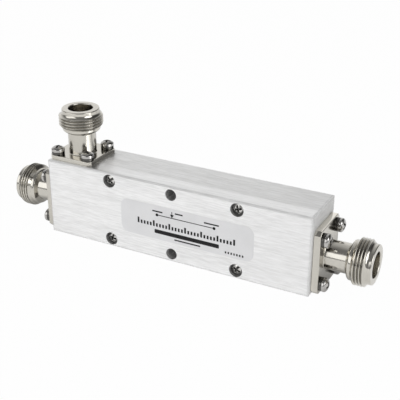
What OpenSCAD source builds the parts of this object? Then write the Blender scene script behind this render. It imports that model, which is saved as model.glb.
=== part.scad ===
// Coaxial directional coupler: an air-stripline pair in a two-piece milled block, with three threaded jacks.
// Millimetres. X runs from the input end to the output end, -Y is the front of the cover plate, and Z is up.
// The block stands on its long narrow side, with its lower face at Z = 0 and its middle at X = Y = 0.

/* [Block] */
// Thickness of the front cover plate
cover_t = 6; // [5:0.1:8]
// Depth of the cavity that holds the lines
cavity_d = 8; // [6:0.1:9]
// Thickness of the wall behind the cavity
back_wall = 6; // [5:0.1:9]
// Length of the cavity
cavity_l = 92; // [80:0.5:120]
// Height of the cavity
cavity_h = 15.4; // [15:0.1:20]
// Thickness of each end wall
end_wall = 5; // [4:0.1:8]
// Thickness of the wall below the cavity
floor_t = 6.7; // [6:0.1:9]
// Thickness of the wall above the cavity
roof_t = 6.7; // [6:0.1:9]
// Radius left by the cutter in the cavity's corners
cavity_r = 3; // [1:0.5:4]
// Radius of the block's outer edges
edge_r = 0.8; // [0.3:0.1:1]

/* [Holes in the cover] */
// Distance of the hole centres from the upper and lower faces
hole_inset = 3.1; // [2.9:0.1:3.5]
// Radius of the two through holes that hold the block to a panel
mount_hole_r = 2.1; // [1.6:0.05:2.2]
// Distance of the cover screws from the middle of the block
cover_screw_x = 24.7; // [15:0.1:30]
// Radius of the counterbores for the cover screws
counterbore_r = 2.4; // [2.2:0.05:2.6]
// Depth of the counterbores
counterbore_depth = 2.2; // [1.8:0.1:3]

/* [Screws] */
// Radius of the shank of every screw
screw_r = 1.25; // [1:0.05:1.5]
// Radius of the head of a flange screw
head_r = 2.4; // [2:0.05:2.4]
// Height of the head of a flange screw
head_h = 1.9; // [1.2:0.1:2.4]
// Radius of the head of a cover screw
cover_head_r = 2.1; // [1.8:0.05:2.2]
// Height of the head of a cover screw
cover_head_h = 1.6; // [1.2:0.1:2]
// Length of a flange screw under its head
flange_screw_l = 8; // [6:0.5:8.5]
// Length of a cover screw under its head
cover_screw_l = 10; // [8:0.5:12]
// Outer radius of a lock washer
washer_r = 2.35; // [1.9:0.05:2.4]
// Thickness of a lock washer
washer_t = 1.1; // [0.4:0.1:1.4]
// Width of the split in a lock washer
washer_split = 0.5; // [0.3:0.1:0.8]
// How much deeper a tapped hole is than the screw in it
tap_spare = 0.6; // [0.3:0.1:1]

/* [Jacks] */
// Width of a square flange, and width of an end flange across the block
flange_w = 17.5; // [17:0.1:18.5]
// Height of an end flange
end_flange_h = 22.8; // [21.4:0.1:23]
// Spacing of the flange screws across the width
screw_pitch = 12.7; // [12.3:0.1:13]
// Spacing of the end flange screws along the height
end_screw_pitch = 16; // [15.5:0.1:16.6]
// Thickness of an end flange
flange_t = 2.4; // [1.8:0.1:3]
// Thickness of the coupled jack's flange
coupled_flange_t = 1.5; // [1.2:0.1:3]
// Cut across the corners of a flange
flange_cut = 1.3; // [0.5:0.05:1.5]
// Radius of the clearance holes in a flange
flange_hole_r = 1.5; // [1.4:0.05:1.7]
// Least wall left between a clearance hole and the corner cut
corner_wall = 0.2; // [0.2:0.05:0.6]
// Radius of the neck behind the thread
neck_r = 5.05; // [4.8:0.05:6]
// Length of an end jack's neck in front of its flange
neck_len = 7.3; // [4:0.1:9]
// Length of the coupled jack's neck in front of its flange
coupled_neck_len = 7.7; // [4:0.1:9]
// Radius of the shoulder behind the thread
shoulder_r = 6.8; // [6.2:0.05:7]
// Length of the cone from the neck to the shoulder
shoulder_cone = 1; // [0.5:0.1:2]
// Length of the shoulder
shoulder_len = 1.1; // [0.5:0.1:2.5]
// Length of the cone from the shoulder to the thread
thread_cone = 0.95; // [0.5:0.05:2]
// Outer radius of the coupling thread
thread_r = 7.94; // [7.8:0.01:8.2]
// Length of the coupling thread
thread_len = 3.4; // [3:0.1:6]
// Length of the taper from the thread to the nose
nose_cone = 0.6; // [0.3:0.1:1.2]
// Radius of the nose
nose_r = 6.8; // [6.3:0.05:7]
// Length of the nose
nose_len = 1.85; // [0.8:0.05:3]
// Bevel on the nose's outer and inner rim
rim_cut = 0.35; // [0.1:0.05:0.6]
// Radius of the socket in the nose
socket_r = 4.4; // [4.2:0.05:4.6]
// Depth of the socket
socket_depth = 8.6; // [8:0.1:10]

/* [Centre conductors] */
// Radius of the insulator inside a shell
insulator_r = 3.5; // [3:0.05:4]
// Radius of the insulator where it passes through the block's wall
wall_insulator_r = 2.05; // [1.8:0.05:2.4]
// How far the insulator's front lies behind the socket's floor
insulator_sink = 0.5; // [0:0.1:1]
// Radius of a socket contact
contact_r = 1.52; // [1.3:0.01:1.7]
// Radius of the hole in a socket contact
contact_bore_r = 0.83; // [0.7:0.01:1]
// How far the contact's tip lies behind the nose
contact_recess = 5; // [4.6:0.1:6]
// Depth of the contact's hole and slots
contact_slot_depth = 6; // [4:0.1:7]
// Width of the contact's slots
contact_slot_w = 0.3; // [0.2:0.05:0.5]
// Height above the block at which the contact narrows to its tail
contact_step = 1; // [0.5:0.1:2]
// Radius of the contact's tail
tail_r = 0.65; // [0.5:0.05:0.75]
// How far a tail reaches into its line
tail_insert = 2.5; // [1.5:0.1:2.8]

/* [Lines] */
// Thickness of both lines
line_t = 2; // [1.8:0.1:2.6]
// Height of the main line
main_h = 5.5; // [4:0.1:6]
// Height of the main line's axis above the cavity's floor
line_rise = 5.45; // [5:0.05:6]
// Room between the main line's ends and the end walls
line_end_gap = 1; // [0.6:0.1:2]
// Height of the coupled line
coupled_h = 3.6; // [3:0.1:4]
// Gap between the lines in the close section
close_gap = 0.6; // [0.4:0.05:0.8]
// Gap between the lines in the open section
open_gap = 1.8; // [1.2:0.1:2.2]
// Length over which the coupled line steps from one gap to the other
jog_len = 4; // [2:0.5:8]
// How far the coupled line runs past the coupled jack's axis
coupled_lead = 2; // [1.2:0.1:2.4]
// Distance of the coupled line's far end from the end wall
coupled_tail_gap = 6; // [4:0.5:12]

/* [Supports and load] */
// Radius of a spacer under the main line
main_spacer_r = 2; // [1.6:0.1:2.4]
// Radius of a spacer under the coupled line
coupled_spacer_r = 1.5; // [1.3:0.1:1.6]
// Radius of the peg that passes through a line
peg_r = 0.8; // [0.5:0.05:1]
// How far a peg reaches into the rear spacer
peg_insert = 1.5; // [0.8:0.1:1.8]
// Distance of the main line's spacers from the middle
main_spacer_x = 28; // [20:0.5:34]
// Distance of the coupled line's spacers from the middle
coupled_spacer_x = 19; // [10:0.5:24]
// Length of the load's base
load_base_l = 8; // [6:0.5:9]
// Height of the load's base
load_base_h = 4.6; // [4:0.1:6]
// Thickness of the load's base
load_base_t = 1; // [0.6:0.1:1.4]
// Length of the load's ceramic
load_l = 6; // [4:0.5:7]
// Height of the load's ceramic
load_h = 3.6; // [3:0.1:4]
// Room between the load's base and the cavity's roof
load_roof_gap = 1.3; // [0.3:0.1:2]

/* [Fit] */
// Radial room of a pin, screw or insulator in its hole
fit_gap = 0.04; // [0.02:0.01:0.08]

/* [Hidden] */
body_l = cavity_l + 2 * end_wall;
body_d = cover_t + cavity_d + back_wall;
body_h = floor_t + cavity_h + roof_t;
front_y = -body_d / 2;
seam_y = front_y + cover_t;
line_y = seam_y + cavity_d / 2;
cavity_back_y = seam_y + cavity_d;
roof_z = floor_t + cavity_h;
port_z = floor_t + line_rise;
coupled_x = flange_w / 2 - body_l / 2;
hole_zs = [hole_inset, body_h - hole_inset];

// Length of a jack from the end of its neck to its front, the same on all three
crown_l = shoulder_cone + shoulder_len + thread_cone + thread_len + nose_cone + nose_len;

// The two kinds of jack: the flange's long side, the screw spacing along it, the flange's thickness, and the
// height above the block at which the neck ends
end_jack = [end_flange_h, end_screw_pitch, flange_t, flange_t + neck_len];
coupled_jack = [flange_w, screw_pitch, coupled_flange_t, coupled_flange_t + coupled_neck_len];

// Heights above the block of a jack's front, of the socket's floor and of the contact's tip
function jack_l(jack) = jack[3] + crown_l;
function shelf(jack) = jack_l(jack) - socket_depth;
function contact_tip(jack) = jack_l(jack) - contact_recess;

// The coupled line's lower edge in its two sections, and its ends
main_end = cavity_l / 2 - line_end_gap;
close_z = port_z + main_h / 2 + close_gap;
open_z = port_z + main_h / 2 + open_gap;
coupled_start = coupled_x - coupled_lead;
coupled_stop = cavity_l / 2 - coupled_tail_gap;
load_x = coupled_stop - load_l / 2;
load_z = open_z + coupled_h / 2;
load_base_z = roof_z - load_roof_gap - load_base_h / 2;

// A flange's corner cut, limited by the wall it leaves at the clearance holes
corner_cut = min(flange_cut, flange_w - screw_pitch - sqrt(2) * (flange_hole_r + corner_wall));

// How far each tail reaches inward from the block's surface
end_tail = end_wall + line_end_gap + tail_insert;
coupled_tail = body_h - close_z - coupled_h + tail_insert;

// Spacers: their length, and for each its x, the height of the line's axis and its radius
spacer_l = cavity_d / 2 - line_t / 2;
spacers = [
    for (side = [-1, 1]) [side * main_spacer_x, port_z, main_spacer_r],
    [-coupled_spacer_x, close_z + coupled_h / 2, coupled_spacer_r],
    [coupled_spacer_x, open_z + coupled_h / 2, coupled_spacer_r]
];

over = 1;
$fn = 96;

aluminium = "#cfd0cf";
nickel = "#b8b3a6";
steel = "#a9a7a2";
ptfe = "#f1f0eb";
silver = "#cfccc4";
brass = "#c2a45e";
ceramic = "#e3e1da";

// Frames of the three jacks: local Z points out of the block
module at_input() {
    translate([-body_l / 2, line_y, port_z]) rotate([0, -90, 0]) children();
}

module at_output() {
    translate([body_l / 2, line_y, port_z]) rotate([0, 90, 0]) children();
}

module at_coupled() {
    translate([coupled_x, line_y, body_h]) children();
}

// Flange screw places: an end flange has its longer spacing along local X, which stands upright there
module at_flange_screws(jack) {
    for (sx = [-1, 1], sy = [-1, 1])
        translate([sx * jack[1] / 2, sy * screw_pitch / 2, 0]) children();
}

// Holes that run from the front face towards the back
module at_front(x, z) {
    translate([x, front_y, z]) rotate([-90, 0, 0]) children();
}

module at_cover_screws() {
    for (side = [-1, 1], z = hole_zs) at_front(side * cover_screw_x, z) children();
}

module round_rect(w, h, r) {
    square([w - 2 * r, h], center = true);
    square([w, h - 2 * r], center = true);
    for (sx = [-1, 1], sy = [-1, 1]) translate([sx * (w / 2 - r), sy * (h / 2 - r)]) circle(r);
}

// The whole block with its edges rounded: three rounded bars that share one box
module block() {
    translate([0, 0, body_h / 2]) intersection() {
        linear_extrude(body_h, center = true) round_rect(body_l, body_d, edge_r);
        rotate([90, 0, 0]) linear_extrude(body_d, center = true) round_rect(body_l, body_h, edge_r);
        rotate([90, 0, 90]) linear_extrude(body_l, center = true) round_rect(body_d, body_h, edge_r);
    }
}

// Keeps what lies in front of the seam, or behind it
module slab(y0, y1) {
    translate([-body_l / 2 - over, y0, -over]) cube([body_l + 2 * over, y1 - y0, body_h + 2 * over]);
}

module flange_taps() {
    module taps(jack) {
        depth = flange_screw_l - jack[2] - washer_t + tap_spare;
        at_flange_screws(jack)
            translate([0, 0, -depth]) cylinder(r = screw_r + fit_gap, h = depth + over);
    }
    at_input() taps(end_jack);
    at_output() taps(end_jack);
    at_coupled() taps(coupled_jack);
}

module mount_holes() {
    for (z = hole_zs) at_front(0, z)
        translate([0, 0, -over]) cylinder(r = mount_hole_r, h = body_d + 2 * over);
}

module cavity() {
    translate([0, cavity_back_y, floor_t + cavity_h / 2]) rotate([90, 0, 0])
        linear_extrude(cavity_d + over) round_rect(cavity_l, cavity_h, cavity_r);
}

module wall_bores() {
    module bore(wall) {
        translate([0, 0, -wall - over]) cylinder(r = wall_insulator_r + fit_gap, h = wall + 2 * over);
    }
    at_input() bore(end_wall);
    at_output() bore(end_wall);
    at_coupled() bore(roof_t);
}

module housing() {
    color(aluminium) difference() {
        intersection() {
            block();
            slab(seam_y, -front_y + over);
        }
        cavity();
        wall_bores();
        mount_holes();
        flange_taps();
        at_cover_screws()
            cylinder(r = screw_r + fit_gap, h = counterbore_depth + cover_screw_l + tap_spare);
    }
}

module cover_plate() {
    color(aluminium) difference() {
        intersection() {
            block();
            slab(front_y - over, seam_y);
        }
        mount_holes();
        flange_taps();
        at_cover_screws() {
            translate([0, 0, -over]) cylinder(r = counterbore_r, h = counterbore_depth + over);
            cylinder(r = screw_r + fit_gap, h = cover_t + over);
        }
    }
}

// A pan-head screw: its seat is at Z = 0, its shank points down and its head is a cylinder under a low dome
module pan_screw(shank_l, r, h) {
    rim = h / 2;
    dome_r = (r * r + rim * rim) / (2 * rim);
    translate([0, 0, -shank_l]) cylinder(r = screw_r, h = shank_l + rim);
    intersection() {
        cylinder(r = r, h = h);
        translate([0, 0, h - dome_r]) sphere(dome_r);
    }
}

module cover_screws() {
    color(steel) at_cover_screws() translate([0, 0, counterbore_depth]) mirror([0, 0, 1])
        pan_screw(cover_screw_l, cover_head_r, cover_head_h);
}

module flange_screws(jack) {
    color(steel) at_flange_screws(jack)
        translate([0, 0, jack[2] + washer_t]) pan_screw(flange_screw_l, head_r, head_h);
}

module lock_washers(jack) {
    color(steel) at_flange_screws(jack) translate([0, 0, jack[2]]) difference() {
        cylinder(r = washer_r, h = washer_t);
        translate([0, 0, -over]) cylinder(r = screw_r + fit_gap, h = washer_t + 2 * over);
        translate([0, -washer_split / 2, -over]) cube([washer_r + over, washer_split, washer_t + 2 * over]);
    }
}

// Plate of a flange with its corners cut off: a square less four squares standing on their corners
module flange_plate(long_side) {
    difference() {
        square([long_side, flange_w], center = true);
        for (sx = [-1, 1], sy = [-1, 1])
            translate([sx * long_side / 2, sy * flange_w / 2]) rotate(45)
                square(corner_cut * sqrt(2), center = true);
    }
}

// Turned profile of a jack: neck, shoulder, thread and nose outside, socket and insulator seat inside
module jack_profile(jack) {
    neck_end = jack[3];
    shoulder_start = neck_end + shoulder_cone;
    shoulder_end = shoulder_start + shoulder_len;
    thread_start = shoulder_end + thread_cone;
    thread_end = thread_start + thread_len;
    front = jack_l(jack);
    polygon([
        [insulator_r + fit_gap, 0], [neck_r, 0], [neck_r, neck_end],
        [shoulder_r, shoulder_start], [shoulder_r, shoulder_end],
        [thread_r, thread_start], [thread_r, thread_end],
        [nose_r, thread_end + nose_cone], [nose_r, front - rim_cut], [nose_r - rim_cut, front],
        [socket_r + rim_cut, front], [socket_r, front - rim_cut],
        [socket_r, shelf(jack)], [insulator_r + fit_gap, shelf(jack)]
    ]);
}

module jack_shell(jack) {
    thick = jack[2];
    color(nickel) union() {
        rotate_extrude() jack_profile(jack);
        difference() {
            linear_extrude(thick) flange_plate(jack[0]);
            translate([0, 0, -over]) cylinder(r = insulator_r + fit_gap, h = thick + 2 * over);
            at_flange_screws(jack)
                translate([0, 0, -over]) cylinder(r = flange_hole_r, h = thick + 2 * over);
        }
    }
}

// Insulator: a plug in the shell, and a thinner sleeve through the block's wall
module insulator(jack, wall) {
    color(ptfe) difference() {
        union() {
            cylinder(r = insulator_r, h = shelf(jack) - insulator_sink);
            translate([0, 0, -wall]) cylinder(r = wall_insulator_r, h = wall + over);
        }
        translate([0, 0, -wall - over]) cylinder(r = tail_r + fit_gap, h = wall + contact_step + 2 * over);
        translate([0, 0, contact_step]) cylinder(r = contact_r + fit_gap, h = shelf(jack));
    }
}

// Contact: a hollow tip slotted in four, on a thin tail that reaches into the line
module contact(jack, tail) {
    slot_z = contact_tip(jack) - contact_slot_depth;
    color(silver) difference() {
        union() {
            translate([0, 0, -tail]) cylinder(r = tail_r, h = tail + contact_step + over);
            translate([0, 0, contact_step]) cylinder(r = contact_r, h = contact_tip(jack) - contact_step);
        }
        translate([0, 0, slot_z]) cylinder(r = contact_bore_r, h = contact_slot_depth + over);
        for (turn = [0, 90]) rotate(turn) translate([0, 0, slot_z + contact_slot_depth / 2 + over])
            cube([2 * contact_r + over, contact_slot_w, contact_slot_depth + 2 * over], center = true);
    }
}

// Lines are bars cut from plate: an outline in the X-Z plane, line_t thick, pierced for the spacers' pegs
module line_bar() {
    translate([0, line_y + line_t / 2, 0]) rotate([90, 0, 0]) linear_extrude(line_t) children();
}

module peg_holes() {
    for (spacer = spacers)
        translate([spacer[0], line_y - line_t / 2 - over, spacer[1]]) rotate([-90, 0, 0])
            cylinder(r = peg_r + fit_gap, h = line_t + 2 * over);
}

module tail_holes() {
    at_input() translate([0, 0, -end_tail]) cylinder(r = tail_r + fit_gap, h = end_tail);
    at_output() translate([0, 0, -end_tail]) cylinder(r = tail_r + fit_gap, h = end_tail);
    at_coupled() translate([0, 0, -coupled_tail]) cylinder(r = tail_r + fit_gap, h = coupled_tail);
}

module main_line() {
    color(brass) difference() {
        line_bar() translate([0, port_z]) square([2 * main_end, main_h], center = true);
        peg_holes();
        tail_holes();
    }
}

module coupled_line() {
    jog = jog_len / 2;
    color(brass) difference() {
        line_bar() polygon([
            [coupled_start, close_z], [-jog, close_z], [jog, open_z], [coupled_stop, open_z],
            [coupled_stop, open_z + coupled_h], [jog, open_z + coupled_h],
            [-jog, close_z + coupled_h], [coupled_start, close_z + coupled_h]
        ]);
        peg_holes();
        tail_holes();
    }
}

// Spacers hold the lines midway between the cover and the back wall
module front_spacers() {
    color(ptfe) for (spacer = spacers)
        translate([spacer[0], seam_y, spacer[1]]) rotate([-90, 0, 0]) {
            cylinder(r = spacer[2], h = spacer_l);
            cylinder(r = peg_r, h = spacer_l + line_t + peg_insert);
        }
}

module rear_spacers() {
    peg_hole = peg_insert + fit_gap;
    color(ptfe) for (spacer = spacers)
        translate([spacer[0], cavity_back_y, spacer[1]]) rotate([90, 0, 0]) difference() {
            cylinder(r = spacer[2], h = spacer_l);
            translate([0, 0, spacer_l - peg_hole]) cylinder(r = peg_r + fit_gap, h = peg_hole + over);
        }
}

// The load ends the coupled line: a ceramic resistor on a metal base, between the line and the back wall
module load_base() {
    color(nickel) translate([load_x, cavity_back_y - load_base_t / 2, load_base_z])
        cube([load_base_l, load_base_t, load_base_h], center = true);
}

module load_element() {
    load_t = spacer_l - load_base_t;
    color(ceramic) translate([load_x, cavity_back_y - load_base_t - load_t / 2, load_z])
        cube([load_l, load_t, load_h], center = true);
}

housing();
cover_plate();
cover_screws();
at_input() jack_shell(end_jack);  // input_jack_shell
at_output() jack_shell(end_jack);  // output_jack_shell
at_coupled() jack_shell(coupled_jack);  // coupled_jack_shell
at_input() insulator(end_jack, end_wall);  // input_insulator
at_output() insulator(end_jack, end_wall);  // output_insulator
at_coupled() insulator(coupled_jack, roof_t);  // coupled_insulator
at_input() contact(end_jack, end_tail);  // input_contact
at_output() contact(end_jack, end_tail);  // output_contact
at_coupled() contact(coupled_jack, coupled_tail);  // coupled_contact
at_input() flange_screws(end_jack);  // input_flange_screws
at_output() flange_screws(end_jack);  // output_flange_screws
at_coupled() flange_screws(coupled_jack);  // coupled_flange_screws
at_input() lock_washers(end_jack);  // input_lock_washers
at_output() lock_washers(end_jack);  // output_lock_washers
at_coupled() lock_washers(coupled_jack);  // coupled_lock_washers
main_line();
coupled_line();
front_spacers();
rear_spacers();
load_base();
load_element();
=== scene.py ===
"""Looks of a coaxial directional coupler: turned jacks, screws, a label, finishes and a studio
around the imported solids.

Lengths inside the shape functions are millimetres in a local frame whose Z points out of the block.
"""

import math

import bpy
import numpy as np
from bpy.props import FloatProperty, FloatVectorProperty, IntProperty, PointerProperty
from mathutils import Matrix, Vector


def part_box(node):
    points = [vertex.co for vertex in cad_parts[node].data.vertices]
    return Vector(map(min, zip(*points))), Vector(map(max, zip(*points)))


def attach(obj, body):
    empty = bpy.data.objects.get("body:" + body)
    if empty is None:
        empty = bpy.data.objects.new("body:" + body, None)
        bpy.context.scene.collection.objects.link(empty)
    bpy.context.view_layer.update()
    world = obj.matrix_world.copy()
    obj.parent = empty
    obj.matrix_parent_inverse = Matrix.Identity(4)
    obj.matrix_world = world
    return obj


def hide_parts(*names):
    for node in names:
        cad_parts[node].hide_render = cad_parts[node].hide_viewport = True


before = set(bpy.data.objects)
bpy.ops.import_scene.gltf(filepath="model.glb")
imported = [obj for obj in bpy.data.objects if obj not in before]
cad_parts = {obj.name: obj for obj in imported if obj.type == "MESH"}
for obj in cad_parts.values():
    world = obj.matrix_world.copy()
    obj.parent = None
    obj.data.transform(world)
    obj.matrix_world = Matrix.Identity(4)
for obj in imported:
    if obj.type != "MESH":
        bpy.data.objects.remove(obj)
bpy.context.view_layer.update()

bl_info = {
    "name": "Coaxial coupler looks",
    "version": (1, 0, 0),
    "blender": (4, 5, 0),
    "location": "3D View > Sidebar > Coupler",
    "description": "Turned jacks, screws, a label, finishes and a studio for the packed coupler",
    "category": "Object",
}

MM = 0.001
FULL_TURN = 2 * math.pi
QUARTER_TURN = math.pi / 2
BODY = "root"
JACKS = ("input", "output", "coupled")


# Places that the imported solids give

def node_box(node):
    """Lowest and highest corner of a solid, in millimetres."""
    low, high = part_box(node)
    return np.array(low) / MM, np.array(high) / MM


HOUSING_LOW, HOUSING_HIGH = node_box("housing")
COVER_FRONT = node_box("cover_plate")[0][1]


def frame_matrix(origin, x_axis, z_axis):
    """4x4 frame with the given origin, X axis and outward Z axis."""
    x_axis, z_axis = Vector(x_axis), Vector(z_axis)
    axes = Matrix((x_axis, z_axis.cross(x_axis), z_axis)).transposed()
    return np.array(Matrix.Translation(Vector(origin)) @ axes.to_4x4())


def jack_frame(jack):
    """Frame of a jack: its origin is on the block's surface, and the flange's long side lies along
    local X."""
    low, high = node_box(f"{jack}_contact")
    x, y, z = (low + high) / 2
    if jack == "input":
        return frame_matrix((HOUSING_LOW[0], y, z), (0, 0, 1), (-1, 0, 0))
    if jack == "output":
        return frame_matrix((HOUSING_HIGH[0], y, z), (0, 0, -1), (1, 0, 0))
    return frame_matrix((x, y, HOUSING_HIGH[2]), (1, 0, 0), (0, 0, 1))


def local_box(node, matrix):
    """Lowest and highest corner of a solid in a local frame, in millimetres."""
    corners = (np.array(node_box(node)) - matrix[:3, 3]) @ matrix[:3, :3]
    return corners.min(0), corners.max(0)


def front_frame(x, z, y=0.0):
    """Frame on the cover's front, y millimetres behind its face, with local X along the block and
    local Y up."""
    return frame_matrix((x, COVER_FRONT + y, z), (1, 0, 0), (0, -1, 0))


def cover_screw_places(head_r):
    """The cover screws' common middle, and how far their axes lie from it each way, in
    millimetres."""
    low, high = node_box("cover_screws")
    return (low + high) / 2, (high - low) / 2 - head_r


# Values that a user would change

def length(name, description, millimetres):
    """A length property, written in millimetres and kept in metres."""
    return FloatProperty(
        name=name, description=description, default=millimetres * MM, min=0.0,
        unit="LENGTH", subtype="DISTANCE", precision=5,
    )


def angle(name, description, degrees):
    """An angle property, written in degrees and kept in radians."""
    return FloatProperty(
        name=name, description=description, default=math.radians(degrees), subtype="ANGLE"
    )


def colour(name, description, value):
    """A linear colour property."""
    return FloatVectorProperty(
        name=name, description=description, default=value, size=3, min=0.0, max=1.0, subtype="COLOR"
    )


def share(name, description, value, most=1.0):
    """A plain number property."""
    return FloatProperty(name=name, description=description, default=value, min=0.0, max=most)


class CouplerJackSizes(bpy.types.PropertyGroup):
    """Sizes of the turned jacks."""

    corner_cut: length("Corner cut", "Cut across the corners of a flange", 1.3)
    edge_round: length("Edge round", "Radius of a flange's upper edge", 0.22)
    hole_r: length("Screw hole", "Radius of the clearance holes in a flange", 1.5)
    square_pitch: length("Square pitch", "Spacing of the screws across a flange", 12.7)
    long_pitch: length("Long pitch", "Spacing of the screws along an end flange", 16.0)
    foot_round: length("Foot round", "Radius between the flange and the neck", 0.35)
    neck_r: length("Neck radius", "Radius of the neck", 5.05)
    shoulder_r: length("Shoulder radius", "Radius of the shoulder behind the thread", 6.8)
    shoulder_cone: length("Shoulder cone", "Length of the cone from the neck to the shoulder", 1.0)
    shoulder_len: length("Shoulder length", "Length of the shoulder", 1.1)
    thread_r: length("Thread radius", "Outer radius of the coupling thread", 7.94)
    thread_cone: length("Thread cone", "Length of the cone from the shoulder to the thread", 0.95)
    thread_len: length("Thread length", "Length of the coupling thread", 3.4)
    thread_pitch: length("Thread pitch", "Rise of the thread in one turn", 1.058)
    thread_depth: length("Thread depth", "Depth of the thread's groove", 0.65)
    nose_r: length("Nose radius", "Radius of the nose", 6.75)
    cove_r: length("Cove radius", "Radius of the hollow between the nose and its taper", 1.4)
    nose_cone: length("Nose cone", "Length of the taper from the thread to the nose", 0.6)
    nose_len: length("Nose length", "Length of the nose", 1.85)
    rim_round: length("Rim round", "Radius of the nose's rims", 0.35)
    socket_r: length("Socket radius", "Radius of the socket", 4.4)
    socket_depth: length("Socket depth", "Depth of the socket", 8.6)
    bore_r: length("Bore radius", "Radius of the bore that holds the insulator", 3.54)


class CouplerScrewSizes(bpy.types.PropertyGroup):
    """Sizes of the screws and lock washers."""

    shank_r: length("Shank radius", "Radius of a screw's shank", 1.25)
    flange_head_r: length("Flange head radius", "Radius of a flange screw's head", 2.4)
    flange_head_h: length("Flange head height", "Height of a flange screw's head", 1.9)
    flange_shank_l: length("Flange shank length", "Length of a flange screw under its head", 8.0)
    cover_head_r: length("Cover head radius", "Radius of a cover screw's head", 2.1)
    cover_head_h: length("Cover head height", "Height of a cover screw's head", 1.6)
    cover_shank_l: length("Cover shank length", "Length of a cover screw under its head", 10.0)
    cover_sink: length("Cover seat depth", "Depth of a cover screw's seat behind the front", 2.2)
    arm: length("Recess arm", "Reach of a cross recess from its middle", 1.4)
    arm_half: length("Half arm width", "Half the width of a recess's arms", 0.36)
    recess: length("Recess depth", "Depth of a cross recess in its middle", 1.15)
    washer_r: length("Washer radius", "Outer radius of a lock washer", 2.35)
    washer_bore: length("Washer bore", "Inner radius of a lock washer", 1.32)
    washer_t: length("Washer thickness", "Thickness of a lock washer", 1.06)
    washer_rise: length("Washer rise", "Rise of a lock washer from one end to the other", 0.04)
    washer_split: length("Washer split", "Width of the split in a lock washer", 0.5)


class CouplerLabelSizes(bpy.types.PropertyGroup):
    """Sizes of the printed field on the cover, and of the marks on it."""

    middle_x: FloatProperty(
        name="Middle", description="Place of the field's middle along the block", default=5.5 * MM,
        unit="LENGTH", subtype="DISTANCE", precision=5,
    )
    middle_z: length("Height", "Height of the field's middle", 14.15)
    field_l: length("Field length", "Length of the field", 51.2)
    field_h: length("Field height", "Height of the field", 13.0)
    field_r: length("Field corners", "Radius of the field's corners", 3.0)
    film: length("Film thickness", "How far the field stands out of the cover", 0.05)
    ink: length("Ink thickness", "How far the marks stand out of the field", 0.02)
    signal_l: length("Signal line", "Length of the thin signal line", 22.0)
    signal_h: length("Signal line width", "Width of the thin signal line", 0.28)
    scale_l: length("Scale length", "Length of the row of strokes", 37.0)
    scale_h: length("Scale height", "Height of a long stroke", 2.2)
    band_l: length("Band length", "Length of the solid band", 25.0)
    band_h: length("Band height", "Height of the solid band", 1.5)
    strokes: IntProperty(name="Strokes", description="Strokes in the row", default=31, min=2)


class CouplerFinish(bpy.types.PropertyGroup):
    """Colours of the finishes."""

    block: colour("Block", "Brushed aluminium of the housing", (0.97, 0.97, 0.96))
    cover: colour("Cover", "Brushed aluminium of the cover plate", (0.98, 0.98, 0.975))
    nickel: colour("Nickel", "Plating of the jacks", (0.58, 0.558, 0.507))
    # The flange screws' steel and the cover screws' steel are one steel in two shades: the flange
    # screws' copy is darker, painted shade, and the cover screws' copy lighter, painted highlight
    steel: colour("Flange screws", "Steel of the flange screws", (0.49, 0.48, 0.465))
    bright: colour("Cover screws", "Steel of the cover screws", (0.62, 0.61, 0.59))
    washer: colour("Washer", "Darkened spring steel of the lock washers", (0.11, 0.107, 0.10))
    insulator: colour("Insulator", "White plastic of insulators and spacers", (0.82, 0.81, 0.78))
    contact: colour("Contact", "Silver plating of the contacts", (0.80, 0.78, 0.74))
    line: colour("Line", "Brass of the two lines", (0.72, 0.53, 0.24))
    load: colour("Load", "Ceramic of the load", (0.72, 0.70, 0.65))
    field: colour("Field", "Silvery foil of the label", (0.82, 0.82, 0.827))
    ink: colour("Ink", "Marks on the printed field", (0.012, 0.012, 0.013))


class CouplerStage(bpy.types.PropertyGroup):
    """Camera and light."""

    lens: share("Lens", "Focal length in millimetres on a 36 mm sensor", 76.84, 300.0)
    yaw: angle("Yaw", "Turn of the view to the left of straight on", 27.68)
    pitch: angle("Pitch", "Fall of the view below level", 25.345)
    roll: angle("Roll", "Turn of the view about its axis", 0.09)
    eye: FloatVectorProperty(name="Eye", description="Place of the camera", size=3, unit="LENGTH",
                             subtype="TRANSLATION", default=(0.12984, -0.23619, 0.14736))
    front_light: share("Front light", "Brightness of the soft light at the front left", 1.38, 10.0)
    side_light: share("Side light", "Brightness of the soft light at the right", 3.2, 10.0)
    back: share("Back", "Brightness of the room behind the block, on the left", 1.0)
    corner: share("Corner", "Brightness of the room behind the block, on the right", 0.06)
    skirting: share("Skirting", "Brightness of the room just above the floor on that side", 0.5)
    front: share("Front", "Brightness of the room around the camera", 0.23)
    ceiling: share("Ceiling", "Brightness of the room overhead", 0.63)
    shadow: share("Shadow", "Share of the floor's own shading that the camera sees", 0.02)
    end_shade: share("End shade", "Shade under the end jacks that the metal shows", 0.5)
    mirrored: share("Mirrored white", "White glow of the floor that the metal shows", 0.42)


def millimetres(group, *left_out):
    """A property group's lengths as plain numbers of millimetres."""
    return {key: getattr(group, key) / MM for key in group.__annotations__ if key not in left_out}


# Surfaces: grids of points, joined and closed by welding what coincides

WELD = 1.3e-4  # step of the net on which points count as one, in the points' own unit


def unit(vector):
    """A vector divided by its length."""
    return vector / np.linalg.norm(vector)


def circle(radius, turn):
    """Points at a radius from the middle: across is the turn's cosine and up its sine, each times
    the radius."""
    return radius * np.stack([np.cos(turn), np.sin(turn)], -1)


def straight_runs(corners, steps):
    """Points along the straight stretches between corners, the last corner left out: a stretch's
    first corner plus an even share of the way to its next one."""
    t = np.linspace(0, 1, steps, endpoint=False)[:, None]
    return np.concatenate([a + (b - a) * t for a, b in zip(corners, corners[1:])])


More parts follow.
